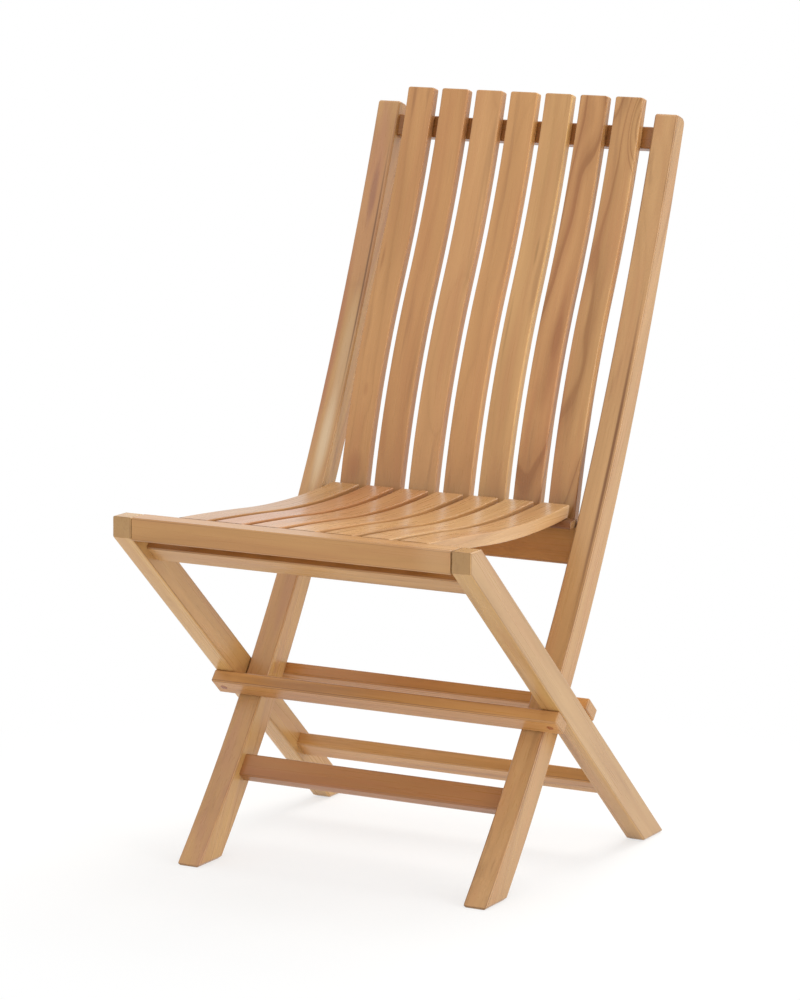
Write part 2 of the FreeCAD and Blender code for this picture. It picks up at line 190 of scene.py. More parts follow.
teakGrain = {
    "waveLong": 260, "waveWide": 60, "waveSize": 8.0,       # slow bends of the rings, mm
    "fibreLong": 150, "fibreWide": 3.4,                     # bundles of fibres
    "poreLong": 10, "poreWide": 0.8,                        # drawn coarser than real, to show
    "streakLong": 380, "streakWide": 15,                    # mineral streaks
    "cloudLong": 260, "cloudWide": 20,                      # slow change of tone
    "oiled": 0.24, "dry": 0.36,                             # roughness, the soft fibres are drier
}
grainInputs = {
    "Vector": "Vector", "Seed": "Float", "Pith": "Vector", "Slope": "Vector", "Ring": "Float",
    "Knot": "Vector", "Knot Size": "Vector", "Knot Push": "Float", "Knot Show": "Float",
    "Ring Show": "Float", "Fibre Show": "Float", "Cloud Show": "Float", "Red Show": "Float",
    "Streak Show": "Float", "Streak From": "Float", "Arris Show": "Float",
    "Light": "Color", "Dark": "Color", "Streak": "Color", "Red": "Color", "End": "Color",
    "Side": "Vector", "Axis": "Vector", "Side Axis": "Vector",
}


def grainGroup(look):
    tree = bpy.data.node_groups.new("teak grain", "ShaderNodeTree")
    for name, kind in grainInputs.items():
        tree.interface.new_socket(name, in_out="INPUT", socket_type="NodeSocket" + kind)
    for name, kind in (("Color", "Color"), ("Roughness", "Float"), ("Height", "Float")):
        tree.interface.new_socket(name, in_out="OUTPUT", socket_type="NodeSocket" + kind)
    given = addNode(tree, "NodeGroupInput").outputs
    shift = addNode(tree, "ShaderNodeVectorMath", {"operation": "SCALE"},
                    values={0: (0.37, 0.83, 0.59)}, links={"Scale": given["Seed"]})
    seeded = addNode(tree, "ShaderNodeVectorMath", {"operation": "ADD"},
                     links={0: given["Vector"], 1: shift.outputs[0]}).outputs[0]

    def stretched(long, wide, detail, rough=0.5):
        scale = (1 / (long * mm), 1 / (wide * mm), 1 / (wide * mm))
        drawn = addNode(tree, "ShaderNodeVectorMath", {"operation": "MULTIPLY"},
                        values={1: scale}, links={0: seeded})
        return addNode(tree, "ShaderNodeTexNoise", values={"Scale": 1.0, "Detail": detail, "Roughness": rough},
                       links={"Vector": drawn.outputs[0]})

    # growth rings round a pith line that runs a little askew, pushed aside by the knot
    wave = stretched(look["waveLong"], look["waveWide"], 2.0)
    centred = addNode(tree, "ShaderNodeVectorMath", {"operation": "SUBTRACT"},
                      values={1: (0.5, 0.5, 0.5)}, links={0: wave.outputs["Color"]})
    bend = addNode(tree, "ShaderNodeVectorMath", {"operation": "SCALE"},
                   values={"Scale": 2 * look["waveSize"] * mm}, links={0: centred.outputs[0]})
    bent = addNode(tree, "ShaderNodeVectorMath", {"operation": "ADD"},
                   links={0: given["Vector"], 1: bend.outputs[0]})
    length = addNode(tree, "ShaderNodeSeparateXYZ", links={0: given["Vector"]})
    askew = addNode(tree, "ShaderNodeVectorMath", {"operation": "SCALE"},
                    links={0: given["Slope"], "Scale": length.outputs[0]})
    pith = addNode(tree, "ShaderNodeVectorMath", {"operation": "ADD"},
                   links={0: given["Pith"], 1: askew.outputs[0]})
    fromPith = addNode(tree, "ShaderNodeVectorMath", {"operation": "SUBTRACT"},
                       links={0: bent.outputs[0], 1: pith.outputs[0]})
    across = addNode(tree, "ShaderNodeVectorMath", {"operation": "MULTIPLY"},
                     values={1: (0, 1, 1)}, links={0: fromPith.outputs[0]})
    radius = addNode(tree, "ShaderNodeVectorMath", {"operation": "LENGTH"}, links={0: across.outputs[0]})
    fromKnot = addNode(tree, "ShaderNodeVectorMath", {"operation": "SUBTRACT"},
                       links={0: bent.outputs[0], 1: given["Knot"]})
    inKnots = addNode(tree, "ShaderNodeVectorMath", {"operation": "DIVIDE"},
                      links={0: fromKnot.outputs[0], 1: given["Knot Size"]})
    reach = addNode(tree, "ShaderNodeVectorMath", {"operation": "LENGTH"}, links={0: inKnots.outputs[0]})
    hill = addNode(tree, "ShaderNodeMapRange", {"interpolation_type": "SMOOTHERSTEP"},
                   values={1: 1.0, 2: 0.0}, links={0: reach.outputs["Value"]})
    pushed = addNode(tree, "ShaderNodeMath", {"operation": "MULTIPLY_ADD"},
                     links={0: hill.outputs[0], 1: given["Knot Push"], 2: radius.outputs["Value"]})
    count = addNode(tree, "ShaderNodeMath", {"operation": "DIVIDE"},
                    links={0: pushed.outputs[0], 1: given["Ring"]})
    uneven = addNode(tree, "ShaderNodeTexNoise", {"noise_dimensions": "1D"},
                     values={"Scale": 0.45, "Detail": 1.0}, links={"W": count.outputs[0]})
    phase = addNode(tree, "ShaderNodeMath", {"operation": "MULTIPLY_ADD"},
                    values={1: 3.0}, links={0: uneven.outputs[0], 2: count.outputs[0]})
    part = addNode(tree, "ShaderNodeMath", {"operation": "FRACT"}, links={0: phase.outputs[0]})
    ring = addNode(tree, "ShaderNodeValToRGB", links={"Fac": part.outputs[0]})
    ring.color_ramp.interpolation = "EASE"
    stops = ((0.0, 0.55), (0.14, 0.30), (0.45, 0.06), (0.78, 0.28), (0.93, 1.0), (1.0, 0.55))
    ring.color_ramp.elements[0].position, ring.color_ramp.elements[1].position = stops[0][0], stops[-1][0]
    for where, _ in stops[1:-1]:
        ring.color_ramp.elements.new(where)
    for element, (_, level) in zip(ring.color_ramp.elements, stops):
        element.color = (level, level, level, 1)

    fibre = stretched(look["fibreLong"], look["fibreWide"], 3.0, 0.6)
    pore = stretched(look["poreLong"], look["poreWide"], 1.0)
    cloud = stretched(look["cloudLong"], look["cloudWide"], 2.0)
    streak = stretched(look["streakLong"], look["streakWide"], 2.5, 0.55)

    def weighed(source, centre, weight, before=0.5):
        away = addNode(tree, "ShaderNodeMath", {"operation": "SUBTRACT"},
                       values={1: centre}, links={0: source})
        node = addNode(tree, "ShaderNodeMath", {"operation": "MULTIPLY_ADD"},
                       links={0: away.outputs[0], 1: weight})
        if isinstance(before, float):
            node.inputs[2].default_value = before
        else:
            tree.links.new(before, node.inputs[2])
        return node.outputs[0]

    def over(share, before, after):
        mix = addNode(tree, "ShaderNodeMix", {"data_type": "RGBA"},
                      links={0: share, 6: before, 7: after})
        return mix.outputs[2]

    tone = weighed(ring.outputs[0], 0.3, given["Ring Show"])
    tone = weighed(fibre.outputs[0], 0.5, given["Fibre Show"], tone)
    tone = weighed(cloud.outputs[0], 0.5, given["Cloud Show"], tone)
    colour = over(tone, given["Light"], given["Dark"])
    inRed = addNode(tree, "ShaderNodeMapRange", {"interpolation_type": "SMOOTHSTEP"},
                    values={1: 0.42, 2: 0.70}, links={0: cloud.outputs["Color"]})
    redShare = addNode(tree, "ShaderNodeMath", {"operation": "MULTIPLY", "use_clamp": True},
                       links={0: inRed.outputs[0], 1: given["Red Show"]})
    colour = over(redShare.outputs[0], colour, given["Red"])
    past = addNode(tree, "ShaderNodeMath", {"operation": "SUBTRACT"},
                   links={0: streak.outputs[0], 1: given["Streak From"]})
    mask = addNode(tree, "ShaderNodeMapRange", {"interpolation_type": "SMOOTHSTEP"},
                   values={1: 0.0, 2: 0.16}, links={0: past.outputs[0]})
    streakShare = addNode(tree, "ShaderNodeMath", {"operation": "MULTIPLY", "use_clamp": True},
                          links={0: mask.outputs[0], 1: given["Streak Show"]})
    colour = over(streakShare.outputs[0], colour, given["Streak"])
    core = addNode(tree, "ShaderNodeMapRange", {"interpolation_type": "SMOOTHSTEP"},
                   values={1: 0.34, 2: 0.08}, links={0: reach.outputs["Value"]})
    knotShare = addNode(tree, "ShaderNodeMath", {"operation": "MULTIPLY", "use_clamp": True},
                        links={0: core.outputs[0], 1: given["Knot Show"]})
    colour = over(knotShare.outputs[0], colour, given["Streak"])
    inPore = addNode(tree, "ShaderNodeMapRange", values={1: 0.60, 2: 0.80, 3: 0.0, 4: 0.1},
                     links={0: pore.outputs[0]})
    colour = over(inPore.outputs[0], colour, given["Streak"])

    # the faces to the left and right get their own tone: partly the rings seen from another side, partly painted light
    # and shade for how brightly those faces are lit
    facing = addNode(tree, "ShaderNodeTexCoord")
    sideways = addNode(tree, "ShaderNodeVectorMath", {"operation": "DOT_PRODUCT"},
                       links={0: facing.outputs["Normal"], 1: given["Side Axis"]})
    sideways = addNode(tree, "ShaderNodeMath", {"operation": "ABSOLUTE"}, links={0: sideways.outputs["Value"]})
    sideShare = addNode(tree, "ShaderNodeMapRange", {"interpolation_type": "SMOOTHSTEP"},
                        values={1: 0.55, 2: 0.85}, links={0: sideways.outputs[0]})
    tinted = addNode(tree, "ShaderNodeMix", {"data_type": "RGBA", "blend_type": "MULTIPLY"},
                     links={0: sideShare.outputs[0], 6: colour, 7: given["Side"]})
    # cut across the fibres the pores drink more oil, so the ends are darker
    along = addNode(tree, "ShaderNodeVectorMath", {"operation": "DOT_PRODUCT"},
                    links={0: facing.outputs["Normal"], 1: given["Axis"]})
    along = addNode(tree, "ShaderNodeMath", {"operation": "ABSOLUTE"}, links={0: along.outputs["Value"]})
    endShare = addNode(tree, "ShaderNodeMapRange", {"interpolation_type": "SMOOTHSTEP"},
                       values={1: 0.45, 2: 0.85, 3: 0.0, 4: 0.7}, links={0: along.outputs[0]})
    colour = over(endShare.outputs[0], tinted.outputs[2], given["End"])
    # the sanded arrises are drawn darker in patches
    arris = addNode(tree, "ShaderNodeAttribute", {"attribute_name": "arris"})
    arrisPatches = addNode(tree, "ShaderNodeMapRange", values={1: 0.42, 2: 0.60, 3: 0.3},
                   links={0: streak.outputs[0]})
    arrisShare = addNode(tree, "ShaderNodeMath", {"operation": "MULTIPLY"},
                         links={0: arris.outputs["Fac"], 1: arrisPatches.outputs[0]})
    arrisShare = addNode(tree, "ShaderNodeMath", {"operation": "MULTIPLY", "use_clamp": True},
                         links={0: arrisShare.outputs[0], 1: given["Arris Show"]})
    colour = over(arrisShare.outputs[0], colour, given["Streak"])

    dry = addNode(tree, "ShaderNodeMapRange", values={1: 0.3, 2: 0.7, 3: look["oiled"], 4: look["dry"]},
                  links={0: fibre.outputs[0]})
    relief = addNode(tree, "ShaderNodeMath", {"operation": "MULTIPLY_ADD"}, values={1: 0.45},
                     links={0: ring.outputs[0], 2: fibre.outputs[0]})
    addNode(tree, "NodeGroupOutput",
            links={"Color": colour, "Roughness": dry.outputs[0], "Height": relief.outputs[0]})
    return tree


grain = grainGroup(teakGrain)

teakLook = {
    "streak": "#7A4F2E", "red": "#AD6C45", "end": "#9C7850",
    "light": (1.13, 1.15, 1.18), "dark": (0.83, 0.79, 0.73),      # of a board's own tone
    "ring": 13.0, "ringShow": 0.25, "fibreShow": 0.22, "cloudShow": 1.3, "redShow": 0.25,
    "streakShow": 0.3, "streakFrom": 0.56, "arrisShow": 0.6,
    "fromPith": 55, "veinsAndPaintedLight": (),
    "knot": (0, 500, 0), "knotSize": (40, 12, 12), "knotPush": 0.0, "knotShow": 0.0,
    "bump": 0.1, "reliefSize": 0.1,
}
acrossChair = Vector((1, 0, 0))


# One long vein or patch in a board, some of them painted shade and painted sheen: its middle, half sizes, strength and
# colour
def patched(tree, vector, before, place, size, show, colour):
    away = addNode(tree, "ShaderNodeVectorMath", {"operation": "SUBTRACT"},
                   values={1: [v * mm for v in place]}, links={0: vector})
    part = addNode(tree, "ShaderNodeVectorMath", {"operation": "DIVIDE"},
                   values={1: [v * mm for v in size]}, links={0: away.outputs[0]})
    reach = addNode(tree, "ShaderNodeVectorMath", {"operation": "LENGTH"}, links={0: part.outputs[0]})
    share = addNode(tree, "ShaderNodeMapRange", {"interpolation_type": "SMOOTHSTEP"},
                    values={1: 1.0, 2: 0.3, 3: 0.0, 4: show}, links={0: reach.outputs["Value"]})
    return addNode(tree, "ShaderNodeMix", {"data_type": "RGBA"}, values={7: hexColour(colour)},
                   links={0: share.outputs[0], 6: before}).outputs[2]


def teak(name, axis, centre, seed, **own):
    look = {**teakLook, **own}
    material = bpy.data.materials.new("oiled teak " + name)
    material.use_nodes = True
    tree = material.node_tree
    tree.nodes.clear()
    length = Vector(axis).normalized()
    side = acrossChair if abs(length.x) < 0.7 else Vector((0, 1, 0))
    third = length.cross(side).normalized()
    side = third.cross(length)
    turn = Matrix((length, side, third)).transposed()
    place = addNode(tree, "ShaderNodeTexCoord")
    board = addNode(tree, "ShaderNodeMapping", {"vector_type": "TEXTURE"},
                    values={"Location": centre, "Rotation": turn.to_euler()},
                    links={"Vector": place.outputs["Object"]})
    face = look["face"]
    tint = [s / f for s, f in zip(hexColour(look.get("side", face)), hexColour(face))][:3]
    inMetres = {key: [v * mm for v in look[key]] for key in ("knot", "knotSize")}
    # where in the log the board was cut, and how askew
    pith = look.get("pith", (look["fromPith"] * math.cos(2.4 * seed), look["fromPith"] * math.sin(2.4 * seed)))
    slope = look.get("slope", (0.03 * math.sin(1.7 * seed), 0.02 * math.cos(1.3 * seed)))
    group = addNode(tree, "ShaderNodeGroup", {"node_tree": grain}, values={
        "Seed": seed, "Pith": (0, pith[0] * mm, pith[1] * mm),
        "Slope": (0, *slope), "Ring": look["ring"] * mm,
        "Knot": inMetres["knot"], "Knot Size": inMetres["knotSize"],
        "Knot Push": look["knotPush"] * mm, "Knot Show": look["knotShow"],
        "Ring Show": look["ringShow"], "Fibre Show": look["fibreShow"],
        "Cloud Show": look["cloudShow"], "Red Show": look["redShow"],
        "Streak Show": look["streakShow"], "Streak From": look["streakFrom"],
        "Arris Show": look["arrisShow"], "Light": hexColour(face, look["light"]),
        "Dark": hexColour(face, look["dark"]), "Streak": hexColour(look["streak"]),
        "Red": hexColour(look["red"]), "End": hexColour(look["end"]), "Side": tint,
        "Axis": length,
        "Side Axis": look.get("sideAxis", acrossChair if abs(length.x) < 0.7 else (0, 0, 0))},
        links={"Vector": board.outputs[0]})
    bump = addNode(tree, "ShaderNodeBump", values={"Strength": look["bump"],
                   "Distance": look["reliefSize"] * mm}, links={"Height": group.outputs["Height"]})
    colour = group.outputs["Color"]
    for patchSpec in look["veinsAndPaintedLight"]:
        colour = patched(tree, board.outputs[0], colour, *patchSpec)
    shader = addNode(tree, "ShaderNodeBsdfPrincipled", values={"IOR": 1.5, "Specular IOR Level": 0.5},
                     links={"Base Color": colour,
                            "Roughness": group.outputs["Roughness"], "Normal": bump.outputs[0]})
    addNode(tree, "ShaderNodeOutputMaterial", links={"Surface": shader.outputs[0]})
    return material


# A finished piece is one plain mesh with even shading; modifiers only make it

def finished(piece):
    even = piece.modifiers.new("even faces", "WEIGHTED_NORMAL")
    even.keep_sharp = True
    depsgraph = bpy.context.evaluated_depsgraph_get()
    mesh = bpy.data.meshes.new_from_object(piece.evaluated_get(depsgraph))
    mesh.name = piece.name
    piece.modifiers.clear()
    piece.data = mesh
    for label in [a.name for a in mesh.attributes if a.name.startswith("path")]:
        mesh.attributes.remove(mesh.attributes[label])
    return piece


# Turns a closed mesh the right way out and lets it shade smoothly
def outward(mesh):
    body = bmesh.new()
    body.from_mesh(mesh)
    bmesh.ops.recalc_face_normals(body, faces=body.faces)
    if body.calc_volume(signed=True) < 0:
        bmesh.ops.reverse_faces(body, faces=body.faces)
    for face in body.faces:
        face.smooth = True
    body.to_mesh(mesh)
    body.free()


# Softened copies: each frame board gets the rounded arrises of sanded wood

sanding = {"merge": 0.005, "flat": 0.02, "sharp": 24.0, "round": 0.6, "steps": 3,
           "touch": 0.3, "across": 60.0, "short": 0.4}


solids = {name: BVHTree.FromPolygons([v.co for v in source.data.vertices],
                                     [p.vertices for p in source.data.polygons])
          for name, source in nodes.items()}


# An arris is sanded where it lies open: not in a joint, nor at the rim of a hole or mortise
def sanded(node, edge):
    centre = (edge.verts[0].co + edge.verts[1].co) / 2
    for name, solid in solids.items():
        if name != node and solid.find_nearest(centre, sanding["touch"] * mm)[0] is not None:
            return False
    first, second = edge.link_faces
    for face, other in ((first, second), (second, first)):
        sideStep = other.normal - face.normal * face.normal.dot(other.normal)
        start = centre - sideStep.normalized() * (0.2 * mm) + face.normal * (0.05 * mm)
        if solids[node].ray_cast(start, face.normal, sanding["across"] * mm)[0] is not None:
            return False
    return True


sandedParts = [bpy.data.materials.new(part) for part in ("board face", "board arris")]


def soften(node):
    source = nodes[node]
    mesh = source.data.copy()
    body = bmesh.new()
    body.from_mesh(mesh)
    bmesh.ops.remove_doubles(body, verts=body.verts, dist=sanding["merge"] * mm)
    bmesh.ops.dissolve_limit(body, angle_limit=math.radians(sanding["flat"]),
                             verts=body.verts, edges=body.edges)
    body.normal_update()
    near = {v for edge in body.edges if edge.calc_face_angle(0) > math.radians(sanding["sharp"])
            and sanded(node, edge) for v in edge.verts}
    bmesh.ops.remove_doubles(body, verts=list(near), dist=sanding["short"] * mm)
    weight = body.edges.layers.float.new("bevel_weight_edge")
    body.normal_update()
    for edge in body.edges:
        if edge.calc_face_angle(0) > math.radians(sanding["sharp"]):
            edge.smooth = sanded(node, edge)
            edge[weight] = float(edge.smooth)
    for face in body.faces:
        face.smooth = True
    body.to_mesh(mesh)
    body.free()
    mesh.materials.clear()
    for part in sandedParts:
        mesh.materials.append(part)
    piece = bpy.data.objects.new(node + "_wood", mesh)
    bpy.context.scene.collection.objects.link(piece)
    bevel = piece.modifiers.new("sanding", "BEVEL")
    bevel.width = sanding["round"] * mm
    bevel.segments = sanding["steps"]
    bevel.limit_method = "WEIGHT"
    bevel.material = 1
    bevel.use_clamp_overlap = False
    finished(piece)
    mesh = piece.data
    arris = mesh.attributes.new("arris", "FLOAT", "FACE")
    for face, value in zip(mesh.polygons, arris.data):
        value.value = float(face.material_index == 1)
        face.material_index = 0
    mesh.materials.clear()
    return piece


def dress(piece, body, material, *replaced, slot="teak"):
    piece.data.materials.clear()
    piece.data.materials.append(material)
    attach(piece, body)
    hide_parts(*replaced)
    return piece


# Frame boards, each with the tone of its front and side faces in the photograph

legAxis = Vector((0, math.sin(math.radians(-50)), math.cos(math.radians(-50))))
stileAxis = Vector((0, 0.50, 0.87))
barOut = Vector((0, -legAxis.z, legAxis.y))       # out of the front stop bar's lower face
plugLook = {"size": 9.0, "thick": 4.0, "proud": 0.15, "x": 227.0, "bar": 17.0}


def plugPlaces(node, out):
    face = middle(node) + out * (plugLook["bar"] / 2 * mm)
    return [Vector((x * mm, face.y, face.z)) for x in (-plugLook["x"], plugLook["x"])]


# the side tones below are partly painted light and shade
boards = {
    "left_stile": {"body": "back_frame", "axis": stileAxis, "seed": 2.0, "face": "#BE9260",
                   "side": "#C1975D", "streak": "#9A6B50", "streakShow": 0.45, "redShow": 0.55, "red": "#B17E62",
                   "veinsAndPaintedLight": (
                       # the two pale patches on the front are lighter wood with a painted sheen on it; the last vein,
                       # a dark line beside the front arris, is painted shade of that edge
                       ((370, 0, 0), (190, 30, 90), 0.45, "#B37B58"), ((395, 0, 0), (60, 7, 90), 0.6, "#8E5F4E"),
                       ((190, -13, 10), (180, 9, 90), 0.6, "#A5664A"), ((170, 5, 10), (130, 12, 90), 0.5, "#D2B48A"),
                       ((60, 3, 15), (95, 12, 90), 0.65, "#DCC6A4"), ((290, 11.2, 0), (230, 2.0, 120), 0.9, "#7A5638"))},
    "right_stile": {"body": "back_frame", "axis": stileAxis, "seed": 1.0, "face": "#BD9160",
                    "side": "#B08859", "red": "#C08058",
                    "veinsAndPaintedLight": (
                        # the first vein, a dark line beside the front arris, is painted shade of that edge
                        ((66, 10.6, 15), (270, 3.4, 120), 0.95, "#7A4E28"), ((-40, 16, 30), (150, 2, 7), 0.5, "#AE7550"))},
    # the top rail's dark tone is partly painted shade of the narrow gaps between the back slats, where it shows
    "top_rail": {"body": "back_frame", "axis": (1, 0, 0), "seed": 3.0, "face": "#905C2A"},
    "seat_support_rail": {"body": "back_frame", "axis": (1, 0, 0), "seed": 4.0, "face": "#B48048"},
    "front_stretcher": {"body": "back_frame", "axis": (1, 0, 0), "seed": 5.0, "face": "#AA7645",
                        "redShow": 0.5},
    "right_leg": {"body": "leg_frame", "axis": legAxis, "seed": 6.0, "face": "#BE955C",
                  "side": "#AE8B60", "arrisShow": 0.5},
    "left_leg": {"body": "leg_frame", "axis": legAxis, "seed": 7.0, "face": "#CFA568",
                 "side": "#BE945B"},
    # the leg top rail's side tone, on its faces across legAxis, is painted shade: it darkens the face seen in the gap
    # under the seat front rail
    "leg_top_rail": {"body": "leg_frame", "axis": (1, 0, 0), "seed": 8.0, "face": "#C1945E",
                     "side": "#A7733D", "sideAxis": legAxis},
    "rear_stretcher": {"body": "leg_frame", "axis": (1, 0, 0), "seed": 9.0, "face": "#C59459"},
    "front_stop_bar": {"body": "leg_frame", "axis": (1, 0, 0), "seed": 10.0, "face": "#C18D54"},
    "rear_stop_bar": {"body": "leg_frame", "axis": (1, 0, 0), "seed": 11.0, "face": "#C58E51"},
    "seat_front_rail": {"body": "seat", "axis": (1, 0, 0), "seed": 12.0, "face": "#BC8C56",
                        "veinsAndPaintedLight": (((196, 2, 6), (48, 30, 60), 0.5, "#CDA87C"), ((168, 2, -4), (9, 7, 60), 0.35, "#A97C50"))},
    # the batten's very dark tone is mostly painted shade, for its place under the seat slats
    "seat_batten": {"body": "seat", "axis": (1, 0, 0), "seed": 13.0, "face": "#734828"},
}
for node, board in boards.items():
    own = {key: value for key, value in board.items() if key not in ("body", "axis", "seed")}
    piece = soften(node)
    material = teak(node, board["axis"], middle(node), board["seed"], **own)
    dress(piece, board["body"], material, node)
for part in sandedParts:
    bpy.data.materials.remove(part)
print("frame boards sanded and oiled")


# Paths: arcs that run smoothly into each other, as the slats of the CAD model do

def upward(lean):
    return Vector((0, math.sin(math.radians(lean)), math.cos(math.radians(lean))))


def behind(way):
    return Vector((0, way.z, -way.y))


def turned(way, angle):
    c, s = math.cos(angle), math.sin(angle)
    return Vector((0, way.y * c - way.z * s, way.y * s + way.z * c))


# Where the two arcs from start to end meet
def bendJoin(start, lean, end, endLean, share):
    go, arrive = upward(lean), upward(endLean)
    chord = end - start
    mix = go * share + arrive * (1 - share)
    along, square = mix.dot(chord), chord.dot(chord)
    reach = square / (along + math.sqrt(along ** 2 + (1 - mix.dot(mix)) * square))
    first = start + go * (share * reach)
    last = end - arrive * ((1 - share) * reach)
    return first * (1 - share) + last * share


def arcRuns(corners, way):
    runs = []
    for start, end in zip(corners, corners[1:]):
        chord = end - start
        half = math.atan2(way.y * chord.z - way.z * chord.y, way.dot(chord))
        curve = half / math.sin(half) if abs(half) > 1e-6 else 1.0
        runs.append((start, way, chord.length, half, chord.length * curve))
        way = turned(way, 2 * half)
    return runs


# Point and way at a distance along the arcs
def onRuns(runs, distance):
    for start, way, chord, half, long in runs:
        if distance <= long or (start, way) == runs[-1][:2]:
            part = distance / long
            if abs(half) > 1e-6:
                reach = chord * math.sin(part * half) / math.sin(half)
            else:
                reach = chord * part
            return start + turned(way, part * half) * reach, turned(way, 2 * part * half)
        distance -= long


# Distances from 0 to long, close together where the ends are rounded
def stations(long, step, ends):
    close = {round(r * (1 - math.cos(math.radians(15 * i))), 5) for r in ends for i in range(7)}
    close = sorted(close | {max(ends) * 1.3})
    count = max(2, round((long - 2 * close[-1]) / step))
    run = [close[-1] + (long - 2 * close[-1]) * i / count for i in range(1, count)]
    return close + run + [long - d for d in reversed(close)]


# The middle line of a slat, with a straight tenon before it
def slatPath(name, corners, lean, thick, ends, before=0.0):
    runs = arcRuns(corners, upward(lean))
    long = sum(run[4] for run in runs)
    points = []
    if before:
        points = [corners[0] + Vector((0, -d, -thick / 2)) for d in (before, before - 1.5, 0.04)]
    for distance in stations(long, 14.0, ends):
        place, way = onRuns(runs, distance)
        points.append(place + behind(way) * (thick / 2))
    mesh = bpy.data.meshes.new(name)
    mesh.from_pydata([p * mm for p in points], [(i, i + 1) for i in range(len(points) - 1)], [])
    return mesh


# Bent slat tree: a rounded section swept along the path, its ends rounded in both directions

slatInputs = {
    "Width": "Float", "Thickness": "Float", "Arris": "Float", "End Arris": "Float",
    "Start Round": "Float", "End Round": "Float", "End Slant": "Float", "Slant Reach": "Float",
    "Tenon Long": "Float", "Tenon Wide": "Float", "Tenon Thick": "Float",
    "Place": "Float", "Material": "Material",
}


def newTree(name, inputs):
    tree = bpy.data.node_groups.new(name, "GeometryNodeTree")
    tree.interface.new_socket("Geometry", in_out="INPUT", socket_type="NodeSocketGeometry")
    for label, kind in inputs.items():
        tree.interface.new_socket(label, in_out="INPUT", socket_type="NodeSocket" + kind)
    tree.interface.new_socket("Geometry", in_out="OUTPUT", socket_type="NodeSocketGeometry")
    tree.is_modifier = True
    return tree


# Keeps facts about each point of a line, and reads them back after the sweep
def named(tree, line, facts):
    read = {}
    for label, (kind, value) in facts.items():
        line = addNode(tree, "GeometryNodeStoreNamedAttribute", {"data_type": kind, "domain": "POINT"},
                       values={"Name": label}, links={"Geometry": line, 3: value}).outputs[0]
        read[label] = addNode(tree, "GeometryNodeInputNamedAttribute", {"data_type": kind},
                              values={"Name": label}).outputs[0]
    return line, read


